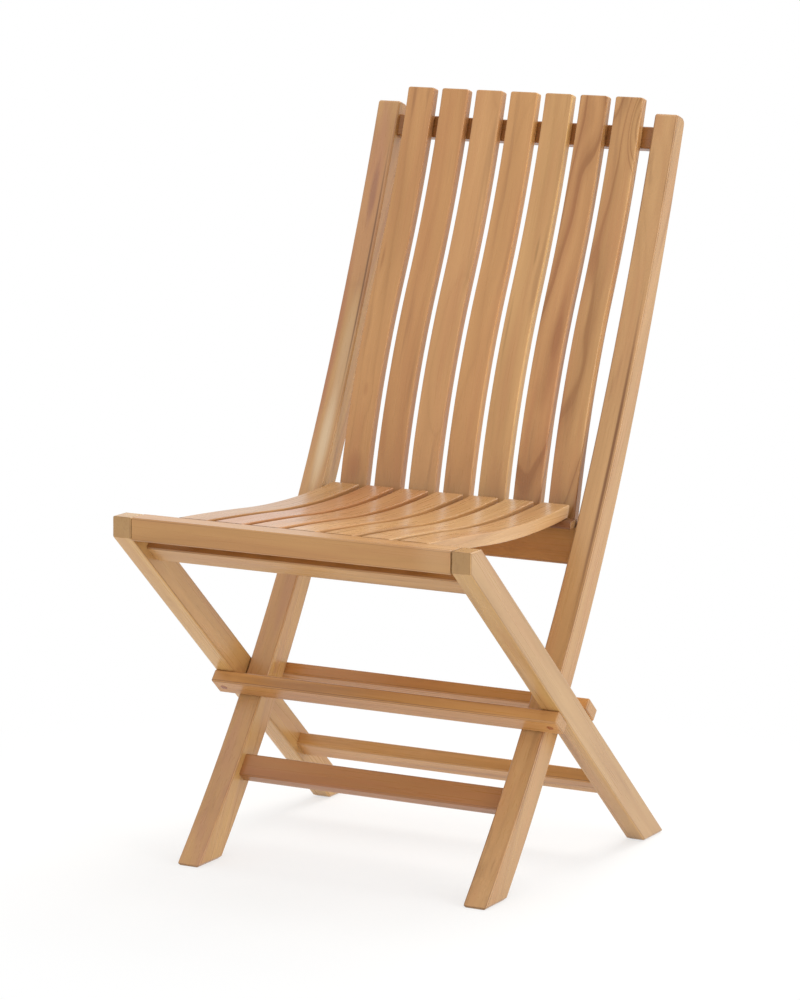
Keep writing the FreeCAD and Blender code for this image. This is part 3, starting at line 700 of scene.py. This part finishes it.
def slatTree():
    tree = newTree("bent slat", slatInputs)
    given = addNode(tree, "NodeGroupInput").outputs
    curve = addNode(tree, "GeometryNodeMeshToCurve", links={"Mesh": given["Geometry"]})
    place = addNode(tree, "GeometryNodeInputPosition")
    tangent = addNode(tree, "GeometryNodeInputTangent")
    spline = addNode(tree, "GeometryNodeSplineParameter")
    whole = addNode(tree, "GeometryNodeSplineLength")
    fromEnd = addNode(tree, "ShaderNodeMath", {"operation": "SUBTRACT"},
                      links={0: whole.outputs["Length"], 1: spline.outputs["Length"]})
    curve, path = named(tree, curve.outputs[0], {
        "pathPlace": ("FLOAT_VECTOR", place.outputs[0]), "pathWay": ("FLOAT_VECTOR", tangent.outputs[0]),
        "pathFromStart": ("FLOAT", spline.outputs["Length"]), "pathFromEnd": ("FLOAT", fromEnd.outputs[0])})
    section = addNode(tree, "GeometryNodeCurvePrimitiveQuadrilateral",
                      links={"Width": given["Width"], "Height": given["Thickness"]})
    section = addNode(tree, "GeometryNodeFilletCurve", {"mode": "POLY"}, values={"Count": 3},
                      links={"Curve": section.outputs[0], "Radius": given["Arris"]})
    section, cut = named(tree, section.outputs[0], {"pathSection": ("FLOAT_VECTOR", place.outputs[0])})
    swept = addNode(tree, "GeometryNodeCurveToMesh", values={"Fill Caps": True},
                    links={"Curve": curve, "Profile Curve": section})

    # how far a rounded edge stands back at a distance from the end
    def drawnIn(distance, radius):
        left = addNode(tree, "ShaderNodeMath", {"operation": "SUBTRACT"}, links={0: radius, 1: distance})
        left = addNode(tree, "ShaderNodeMath", {"operation": "MAXIMUM"}, values={1: 0.0},
                       links={0: left.outputs[0]})
        part = addNode(tree, "ShaderNodeMath", {"operation": "DIVIDE", "use_clamp": True},
                       links={0: left.outputs[0], 1: radius})
        angle = addNode(tree, "ShaderNodeMath", {"operation": "ARCSINE"}, links={0: part.outputs[0]})
        height = addNode(tree, "ShaderNodeMath", {"operation": "COSINE"}, links={0: angle.outputs[0]})
        back = addNode(tree, "ShaderNodeMath", {"operation": "SUBTRACT"}, values={0: 1.0},
                       links={1: height.outputs[0]})
        return addNode(tree, "ShaderNodeMath", {"operation": "MULTIPLY"},
                       links={0: back.outputs[0], 1: radius}).outputs[0]

    def rounded(value, *draws):
        sign = addNode(tree, "ShaderNodeMath", {"operation": "SIGN"}, links={0: value})
        for draw in draws:
            less = addNode(tree, "ShaderNodeMath", {"operation": "MULTIPLY"},
                           links={0: sign.outputs[0], 1: draw})
            value = addNode(tree, "ShaderNodeMath", {"operation": "SUBTRACT"},
                            links={0: value, 1: less.outputs[0]}).outputs[0]
        return value

    split = addNode(tree, "ShaderNodeSeparateXYZ", links={0: cut["pathSection"]})
    onStart, onEnd = path["pathFromStart"], path["pathFromEnd"]
    across = rounded(split.outputs[0], drawnIn(onStart, given["Start Round"]), drawnIn(onEnd, given["End Round"]))
    through = rounded(split.outputs[1], drawnIn(onStart, given["End Arris"]), drawnIn(onEnd, given["Arris"]))

    # the tenon is the same section made smaller
    inTenon = addNode(tree, "FunctionNodeCompare", {"operation": "LESS_THAN"},
                      links={0: onStart, 1: given["Tenon Long"]})
    sizes = []
    for value, full, small in ((across, given["Width"], given["Tenon Wide"]),
                               (through, given["Thickness"], given["Tenon Thick"])):
        ratio = addNode(tree, "ShaderNodeMath", {"operation": "DIVIDE"}, links={0: small, 1: full})
        scale = addNode(tree, "GeometryNodeSwitch", {"input_type": "FLOAT"}, values={1: 1.0},
                        links={0: inTenon.outputs[0], 2: ratio.outputs[0]})
        sizes.append(addNode(tree, "ShaderNodeMath", {"operation": "MULTIPLY"},
                             links={0: value, 1: scale.outputs[0]}).outputs[0])
    across, through = sizes

    # the slanted end: the under face stops short of the upper one
    depth = addNode(tree, "ShaderNodeMath", {"operation": "DIVIDE"},
                    links={0: through, 1: given["Thickness"]})
    depth = addNode(tree, "ShaderNodeMath", {"operation": "ADD"}, values={1: 0.5},
                    links={0: depth.outputs[0]})
    near = addNode(tree, "ShaderNodeMapRange", values={1: 0.0, 3: 1.0, 4: 0.0},
                   links={0: onEnd, 2: given["Slant Reach"]})
    short = addNode(tree, "ShaderNodeMath", {"operation": "MULTIPLY"},
                    links={0: depth.outputs[0], 1: near.outputs[0]})
    short = addNode(tree, "ShaderNodeMath", {"operation": "MULTIPLY"},
                    links={0: short.outputs[0], 1: given["End Slant"]})

    sideStep = addNode(tree, "ShaderNodeMath", {"operation": "ADD"}, links={0: across, 1: given["Place"]})
    sideStep = addNode(tree, "ShaderNodeCombineXYZ", links={0: sideStep.outputs[0]})
    square = addNode(tree, "ShaderNodeVectorMath", {"operation": "CROSS_PRODUCT"},
                     values={1: (1, 0, 0)}, links={0: path["pathWay"]})
    down = addNode(tree, "ShaderNodeVectorMath", {"operation": "SCALE"},
                   links={0: square.outputs[0], "Scale": through})
    back = addNode(tree, "ShaderNodeVectorMath", {"operation": "SCALE"},
                   links={0: path["pathWay"], "Scale": short.outputs[0]})
    at = addNode(tree, "ShaderNodeVectorMath", {"operation": "ADD"},
                 links={0: path["pathPlace"], 1: sideStep.outputs[0]})
    at = addNode(tree, "ShaderNodeVectorMath", {"operation": "ADD"}, links={0: at.outputs[0], 1: down.outputs[0]})
    at = addNode(tree, "ShaderNodeVectorMath", {"operation": "SUBTRACT"},
                 links={0: at.outputs[0], 1: back.outputs[0]})
    shaped = addNode(tree, "GeometryNodeSetPosition",
                     links={"Geometry": swept.outputs[0], "Position": at.outputs[0]})
    real = addNode(tree, "GeometryNodeRealizeInstances", links={"Geometry": shaped.outputs[0]})
    oiled = addNode(tree, "GeometryNodeSetMaterial",
                    links={"Geometry": real.outputs[0], "Material": given["Material"]})
    addNode(tree, "NodeGroupOutput", links={"Geometry": oiled.outputs[0]})
    return tree


# The plain mesh that a tree makes of a host mesh with these sizes
def grown(name, host, tree, sizes):
    piece = bpy.data.objects.new(name, host)
    bpy.context.scene.collection.objects.link(piece)
    modifier = piece.modifiers.new(tree.name, "NODES")
    modifier.node_group = tree
    for item in tree.interface.items_tree:
        if item.in_out == "INPUT" and item.name in sizes:
            modifier[item.identifier] = sizes[item.name]
    depsgraph = bpy.context.evaluated_depsgraph_get()
    mesh = bpy.data.meshes.new_from_object(piece.evaluated_get(depsgraph))
    piece.modifiers.clear()
    piece.data = mesh
    outward(mesh)
    return piece


# Fastener tree: a turned profile with a socket in its face, repeated along a row

fastenerInputs = {
    "Sides": "Int", "Socket Flats": "Int", "Socket Size": "Float", "Socket Deep": "Float",
    "Socket Below": "Float", "Count": "Int", "Pitch": "Float", "Start": "Vector", "Way": "Vector",
    "Material": "Material",
}


def fastenerTree():
    tree = newTree("turned fastener row", fastenerInputs)
    given = addNode(tree, "NodeGroupInput").outputs
    curve = addNode(tree, "GeometryNodeMeshToCurve", links={"Mesh": given["Geometry"]})
    place = addNode(tree, "GeometryNodeInputPosition")
    curve, path = named(tree, curve.outputs[0], {"pathPlace": ("FLOAT_VECTOR", place.outputs[0])})
    circle = addNode(tree, "GeometryNodeCurvePrimitiveCircle", values={"Radius": 1.0},
                     links={"Resolution": given["Sides"]})
    circle, cut = named(tree, circle.outputs[0], {"pathSection": ("FLOAT_VECTOR", place.outputs[0])})
    swept = addNode(tree, "GeometryNodeCurveToMesh", values={"Fill Caps": True},
                    links={"Curve": curve, "Profile Curve": circle})
    # the profile's x is the radius there and its z the height
    split = addNode(tree, "ShaderNodeSeparateXYZ", links={0: path["pathPlace"]})
    wide = addNode(tree, "ShaderNodeVectorMath", {"operation": "SCALE"},
                   links={0: cut["pathSection"], "Scale": split.outputs[0]})
    high = addNode(tree, "ShaderNodeCombineXYZ", links={2: split.outputs[2]})
    at = addNode(tree, "ShaderNodeVectorMath", {"operation": "ADD"}, links={0: wide.outputs[0], 1: high.outputs[0]})
    turnedBody = addNode(tree, "GeometryNodeSetPosition",
                         links={"Geometry": swept.outputs[0], "Position": at.outputs[0]})
    socket = addNode(tree, "GeometryNodeMeshCylinder",
                     links={"Vertices": given["Socket Flats"], "Radius": given["Socket Size"],
                            "Depth": given["Socket Deep"]})
    lower = addNode(tree, "ShaderNodeMath", {"operation": "MULTIPLY"}, values={1: -1.0},
                    links={0: given["Socket Below"]})
    lower = addNode(tree, "ShaderNodeCombineXYZ", links={2: lower.outputs[0]})
    socket = addNode(tree, "GeometryNodeTransform", links={0: socket.outputs[0], 1: lower.outputs[0]})
    drilled = addNode(tree, "GeometryNodeMeshBoolean", {"operation": "DIFFERENCE", "solver": "EXACT"},
                      links={0: turnedBody.outputs[0], 1: socket.outputs[0]})
    hasSocket = addNode(tree, "FunctionNodeCompare", {"operation": "GREATER_THAN"}, values={1: 0.0},
                        links={0: given["Socket Deep"]})
    head = addNode(tree, "GeometryNodeSwitch", {"input_type": "GEOMETRY"},
                   links={0: hasSocket.outputs[0], 1: turnedBody.outputs[0], 2: drilled.outputs[0]})
    step = addNode(tree, "ShaderNodeCombineXYZ", links={0: given["Pitch"]})
    row = addNode(tree, "GeometryNodeMeshLine",
                  links={"Count": given["Count"], "Start Location": given["Start"], "Offset": step.outputs[0]})
    stand = addNode(tree, "FunctionNodeAlignRotationToVector", {"axis": "Z"}, links={"Vector": given["Way"]})
    placed = addNode(tree, "GeometryNodeInstanceOnPoints",
                     links={"Points": row.outputs[0], "Instance": head.outputs[0],
                            "Rotation": stand.outputs[0]})
    real = addNode(tree, "GeometryNodeRealizeInstances", links={"Geometry": placed.outputs[0]})
    plated = addNode(tree, "GeometryNodeSetMaterial",
                     links={"Geometry": real.outputs[0], "Material": given["Material"]})
    addNode(tree, "NodeGroupOutput", links={"Geometry": plated.outputs[0]})
    return tree


bentSlat = slatTree()
fastenerRow = fastenerTree()
print("trees for slats and fasteners built")


# Metals

metalLooks = {
    # brass, turned: warm yellow, faint lathe marks
    "turned brass": {"colour": "#B8935A", "roughness": 0.34, "slot": "brass"},
    # stainless steel A2, cold headed and tumbled: grey, soft shine
    "tumbled stainless steel": {"colour": "#B9B9B6", "roughness": 0.32, "slot": "steel"},
}
tumbleMark = 1.1      # mm between marks; finer ones wouldn't show


def metal(name):
    look = metalLooks[name]
    material = bpy.data.materials.new(name)
    material.use_nodes = True
    tree = material.node_tree
    tree.nodes.clear()
    place = addNode(tree, "ShaderNodeTexCoord")
    marks = addNode(tree, "ShaderNodeTexNoise", values={"Scale": 1 / (tumbleMark * mm), "Detail": 2.0},
                    links={"Vector": place.outputs["Object"]})
    rough = addNode(tree, "ShaderNodeMapRange",
                    values={3: look["roughness"] - 0.06, 4: look["roughness"] + 0.1},
                    links={0: marks.outputs[0]})
    shader = addNode(tree, "ShaderNodeBsdfPrincipled",
                     values={"Base Color": hexColour(look["colour"]), "Metallic": 1.0},
                     links={"Roughness": rough.outputs[0]})
    addNode(tree, "ShaderNodeOutputMaterial", links={"Surface": shader.outputs[0]})
    return material


brass = metal("turned brass")
steel = metal("tumbled stainless steel")


# A turned piece's outline from its face inward: (radius, height) in mm
def profile(name, points):
    mesh = bpy.data.meshes.new(name)
    mesh.from_pydata([(r * mm, 0, z * mm) for r, z in points],
                     [(i, i + 1) for i in range(len(points) - 1)], [])
    return mesh


# Countersunk screws with a square socket; their bodies lie in the wood

screwLook = {"head": 8.0, "rim": 0.4, "cone": 2.2, "body": 4.0, "sunk": 0.3, "socket": 2.6, "socketDeep": 1.6}


def countersink():
    r, s = screwLook["head"] / 2 + 0.25, screwLook["sunk"]
    deep = screwLook["rim"] + screwLook["cone"] + s
    return [(r, 1.0), (r, -s - screwLook["rim"]), (screwLook["body"] / 2, -deep), (screwLook["body"] / 2, -deep - 0.5)]


def screwProfile(long):
    r, s = screwLook["head"] / 2, screwLook["sunk"]
    body = screwLook["body"] / 2
    under = s + screwLook["rim"] + screwLook["cone"]
    return [(r - 0.15, -s), (r, -s - 0.15), (r, -s - screwLook["rim"]), (body, -under),
            (body, 3 - long), (0.3, -long)]


def row(name, points, material, start, way, count, pitch, sides=32, flats=4, size=0.0, deep=0.0, below=0.0):
    return grown(name, profile(name, points), fastenerRow, {
        "Sides": sides, "Socket Flats": flats, "Socket Size": size * mm, "Socket Deep": 2 * deep * mm,
        "Socket Below": below * mm, "Count": count, "Pitch": pitch * mm, "Start": start, "Way": way,
        "Material": material})


def screwRow(name, long, start, way, count, pitch):
    socket = screwLook["socket"] / math.sqrt(2)
    piece = row(name, screwProfile(long), brass, start, way, count, pitch, size=socket,
                deep=screwLook["socketDeep"], below=screwLook["sunk"])
    cutter = row(name + "_sink", countersink(), brass, start, way, count, pitch)
    return finished(piece), cutter


# Countersinks the wood for its screws
def sink(piece, *cutters):
    for cutter in cutters:
        cut = piece.modifiers.new("countersinks", "BOOLEAN")
        cut.operation = "DIFFERENCE"
        cut.solver = "EXACT"
        cut.object = cutter
    finished(piece)


def clearAway(*objects):
    for thing in objects:
        bpy.data.objects.remove(thing)


# Back slats

backSlat = {
    "wide": 38.0, "thick": 14.0, "arris": 1.9, "footArris": 0.8, "headRound": 2.6,
    "footLean": 12.3, "headLean": 15.3, "straight": 72.0, "share": 0.5, "chamfer": 1.6,
}
pitchBack = (middle("back_slat_2").x - middle("back_slat_1").x) / mm
low, high = (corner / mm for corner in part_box("back_slat_4"))
footWay, headWay = upward(backSlat["footLean"]), upward(backSlat["headLean"])
slatFoot = Vector((0, low.y, low.z)) - Vector((0, 0, (behind(footWay) * backSlat["thick"]).z))
slatKnee = slatFoot + footWay * backSlat["straight"]
slatHead = Vector((0, high.y - backSlat["thick"] * headWay.z + backSlat["chamfer"] * headWay.y,
                   high.z + backSlat["chamfer"] * headWay.y))
slatJoin = bendJoin(slatKnee, backSlat["footLean"], slatHead, backSlat["headLean"], backSlat["share"])
backCorners = [slatFoot, slatKnee, slatJoin, slatHead]

# the side tones here are partly painted light and shade
backTones = {
    1: {"face": "#BC8A56", "knot": (-115, 4, 0), "knotPush": 10,
        "knotSize": (45, 15, 40), "ringShow": 0.5, "veinsAndPaintedLight": (
            ((62, -12, 0), (28, 3, 40), 0.6, "#9A683A"), ((-113, 1, 0), (16, 5, 40), 0.5, "#A06A3C"),
            ((-212, 0, 0), (28, 15, 40), 0.4, "#9A5F38"))},
    2: {"face": "#BC8955", "cloudShow": 0.9},
    3: {"face": "#C59460", "cloudShow": 0.9},
    4: {"face": "#C08E59", "side": "#D2A163", "cloudShow": 0.9},
    5: {"face": "#C2945F", "side": "#DAAF6F", "streakShow": 0.45, "streak": "#96693F", "veinsAndPaintedLight": (
        ((85, 6, 0), (30, 2.5, 40), 0.55, "#8F6A3A"), ((-20, -12, 0), (70, 2, 40), 0.5, "#8F6A3A"))},
    6: {"face": "#BA8855", "side": "#CA995F", "dark": (0.66, 0.56, 0.47), "ringShow": 1.1, "ring": 9.0, "pith": (10, -45),
        "slope": (0.095, 0.02), "knot": (275, 12, -7), "knotPush": 14, "knotSize": (120, 30, 30), "redShow": 0.4},
    7: {"face": "#BB8D59", "dark": (0.66, 0.56, 0.47), "ringShow": 0.9, "ring": 12.0, "pith": (-30, -90), "slope": (0.0, 0.02),
        "knot": (262, 19, -7), "knotPush": 34, "knotSize": (95, 30, 30), "redShow": 0.35},
}
backRail, topRail = middle("seat_support_rail") / mm, middle("top_rail") / mm
backRuns = arcRuns(backCorners, footWay)
backLong = sum(run[4] for run in backRuns)
atRail = min((onRuns(backRuns, backLong * i / 400) for i in range(401)),
             key=lambda at: abs((at[0] - topRail).dot(at[1])))
topWay = atRail[1]
footStart = (backRail + behind(footWay) * (21.5 / 2 + backSlat["thick"])) * mm
headStart = (topRail + behind(topWay) * 9.0) * mm
footStart.x = headStart.x = middle("back_slat_1").x
footScrews, footSink = screwRow("slat_foot_screws", 26.0, footStart, behind(footWay), 7, pitchBack)
headScrews, headSink = screwRow("slat_head_screws", 26.0, headStart, behind(topWay), 7, pitchBack)

for number, own in backTones.items():
    node = "back_slat_%d" % number
    material = teak(node, (0, 0.36, 0.93), middle(node), 20.0 + number, **own)
    piece = grown(node + "_wood", slatPath(node, backCorners, backSlat["footLean"], backSlat["thick"],
                                           (backSlat["footArris"], backSlat["arris"], backSlat["headRound"])),
                  bentSlat, {
        "Width": backSlat["wide"] * mm, "Thickness": backSlat["thick"] * mm,
        "Arris": backSlat["arris"] * mm, "End Arris": backSlat["footArris"] * mm,
        "Start Round": backSlat["footArris"] * mm, "End Round": backSlat["headRound"] * mm,
        "Slant Reach": 1.0, "Tenon Wide": 1.0, "Tenon Thick": 1.0,
        "Place": middle(node).x, "Material": material})
    sink(piece, footSink)
    dress(piece, "back_frame", material, node)
print("back slats swept and oiled")

topPiece = bpy.data.objects["top_rail_wood"]
sink(topPiece, headSink)
for piece in (footScrews, headScrews):
    dress(piece, "back_frame", brass, "back_slat_screws", slot="brass")
clearAway(footSink, headSink)


# Seat slats

seatSlat = {
    "wide": 39.0, "thick": 16.0, "arris": 1.9, "endArris": 0.8, "tenonLong": 18.0, "tenonWide": 29.0,
    "tenonThick": 9.0, "startLean": 93.1, "endLean": 84.9, "share": 0.4, "rise": 439.9,
    "slant": 8.0, "slantReach": 40.0,
}
low, high = (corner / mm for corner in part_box("seat_slat_4"))
seatStart = Vector((0, low.y + seatSlat["tenonLong"], high.z))
seatEnd = Vector((0, high.y, seatSlat["rise"]))
seatCorners = [seatStart, bendJoin(seatStart, seatSlat["startLean"], seatEnd, seatSlat["endLean"],
                                   seatSlat["share"]), seatEnd]
# the side tone here is partly painted light and shade
seatTones = {
    1: {"face": "#B88B5B"}, 2: {"face": "#B98355"}, 3: {"face": "#BD8A5A", "redShow": 0.4},
    4: {"face": "#C89966"}, 5: {"face": "#C79964"}, 6: {"face": "#CBA06E", "redShow": 0.35},
    7: {"face": "#C49866", "side": "#C09869"},
}
for number, own in seatTones.items():
    node = "seat_slat_%d" % number
    material = teak(node, (0, 1, 0), middle(node), 40.0 + number, **own)
    piece = grown(node + "_wood", slatPath(node, seatCorners, seatSlat["startLean"], seatSlat["thick"],
                                           (seatSlat["endArris"],), seatSlat["tenonLong"]), bentSlat, {
        "Width": seatSlat["wide"] * mm, "Thickness": seatSlat["thick"] * mm,
        "Arris": seatSlat["arris"] * mm, "End Arris": seatSlat["endArris"] * mm,
        "Start Round": seatSlat["endArris"] * mm, "End Round": seatSlat["endArris"] * mm,
        "End Slant": seatSlat["slant"] * mm, "Slant Reach": seatSlat["slantReach"] * mm,
        "Tenon Long": (seatSlat["tenonLong"] - 0.02) * mm, "Tenon Wide": seatSlat["tenonWide"] * mm,
        "Tenon Thick": seatSlat["tenonThick"] * mm, "Place": middle(node).x, "Material": material})
    finished(piece)
    dress(piece, "seat", material, node)
print("seat slats swept and oiled")

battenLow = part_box("batten_screws")[0]
battenStart = Vector((middle("seat_slat_1").x, middle("batten_screws").y, battenLow.z))
battenScrews, battenSink = screwRow("batten_screw_heads", 22.0, battenStart, (0, 0, -1), 7, pitchBack)
sink(bpy.data.objects["seat_batten_wood"], battenSink)
dress(battenScrews, "seat", brass, "batten_screws", slot="brass")
clearAway(battenSink)


# Crossing bolts: low heads with a hexagon socket, deep in their recess under a teak plug,
# since the photograph shows plain wood there

boltLook = {"head": 16.0, "thick": 2.2, "rim": 0.8, "shank": 8.0, "long": 44.7, "socket": 5.0, "socketDeep": 1.2,
            "under": 2.8, "plug": 18.0, "plugThick": 2.6}


def boltProfile():
    r, rim, thick, shank = boltLook["head"] / 2, boltLook["rim"], boltLook["thick"], boltLook["shank"] / 2
    turns = [math.radians(15 * i) for i in range(7)]
    dome = [(r - rim + rim * math.sin(a), -rim + rim * math.cos(a)) for a in turns]
    return dome + [(r, -thick), (shank, -thick), (shank, 1 - boltLook["long"]), (shank - 1, -boltLook["long"])]


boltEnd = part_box("pivot_bolts")[1].x
for side, label in ((-1, "left"), (1, "right")):
    start = Vector((side * (boltEnd - boltLook["long"] * mm), *middle("pivot_bolts")[1:]))
    bolt = row("pivot_bolt_" + label, boltProfile(), steel, start, (-side, 0, 0), 1, 0, sides=48, flats=6,
               size=boltLook["socket"] / math.sqrt(3), deep=boltLook["socketDeep"])
    finished(bolt)
    dress(bolt, "leg_frame", steel, "pivot_bolts", slot="steel")
    stile, r = label + "_stile", boltLook["plug"] / 2 - 0.02
    centre = start + Vector((-side * boltLook["under"] * mm, 0, 0))
    # the plug takes the stile's side tone, which is partly painted light and shade
    wood = teak(stile + "_plug", stileAxis, centre, 70.0 + side, face=boards[stile]["side"])
    plug = row(stile + "_plug", [(r - 0.1, 0), (r, -0.1), (r, -boltLook["plugThick"])], wood, centre, (-side, 0, 0),
               1, 0, sides=48)
    finished(plug)
    dress(plug, "back_frame", wood, slot="plug")


# Washers between leg and stile: punched rings with broken rims, a hair clear of the wood

washerLook = {"size": 22.0, "hole": 8.4, "rim": 0.2, "clear": 0.03, "sides": 64}


def washer(name, centre, thick):
    outer, bore, rim, half = washerLook["size"] / 2, washerLook["hole"] / 2, washerLook["rim"], thick / 2
    loop = [(outer - rim, half), (outer, half - rim), (outer, rim - half), (outer - rim, -half),
            (bore + rim, -half), (bore, rim - half), (bore, half - rim), (bore + rim, half)]
    sides, corners = washerLook["sides"], len(loop)
    turns = [2 * math.pi * i / sides for i in range(sides)]
    points = [centre + Vector((x, r * math.cos(a), r * math.sin(a))) * mm for a in turns for r, x in loop]
    faces = [(i * corners + j, i * corners + (j + 1) % corners,
              (i + 1) % sides * corners + (j + 1) % corners, (i + 1) % sides * corners + j)
             for i in range(sides) for j in range(corners)]
    mesh = bpy.data.meshes.new(name)
    mesh.from_pydata(points, [], faces)
    outward(mesh)
    mesh.set_sharp_from_angle(angle=math.radians(30))
    piece = bpy.data.objects.new(name, mesh)
    bpy.context.scene.collection.objects.link(piece)
    return piece


washerNear, washerFar = (turn(abs(v.co.x) for v in nodes["pivot_washers"].data.vertices) for turn in (min, max))
for side, label in ((-1, "left"), (1, "right")):
    centre = Vector((side * (washerNear + washerFar) / 2, *middle("pivot_washers")[1:]))
    piece = washer("pivot_washer_" + label, centre, (washerFar - washerNear) / mm - 2 * washerLook["clear"])
    dress(piece, "leg_frame", steel, "pivot_washers", slot="steel")

# Teak plugs over the stop bars' screws, cut from redder wood and sanded nearly flush

for node, out in (("front_stop_bar", barOut), ("rear_stop_bar", -barOut)):
    start, last = plugPlaces(node, out)
    r, top = plugLook["size"] / 2 - 0.02, plugLook["proud"]
    points = [(r * 0.6, top), (r * 0.9, top * 0.85), (r, top * 0.3), (r, -plugLook["thick"])]
    material = teak(node + "_plugs", legAxis, middle(node), 60.0, face="#985422")
    plugs = row(node + "_plugs", points, material, start, out, 2, 2 * plugLook["x"])
    finished(plugs)
    dress(plugs, "leg_frame", material, "stop_bar_plugs", slot="plug")
print("fasteners and plugs made")


def wear(node, material):
    mesh = nodes[node].data
    mesh.materials.clear()
    mesh.materials.append(material)


for node in ("stop_bar_screws", "pivot_inserts"):
    wear(node, brass)
wear("hinge_pins", steel)
print("metalwork finished")
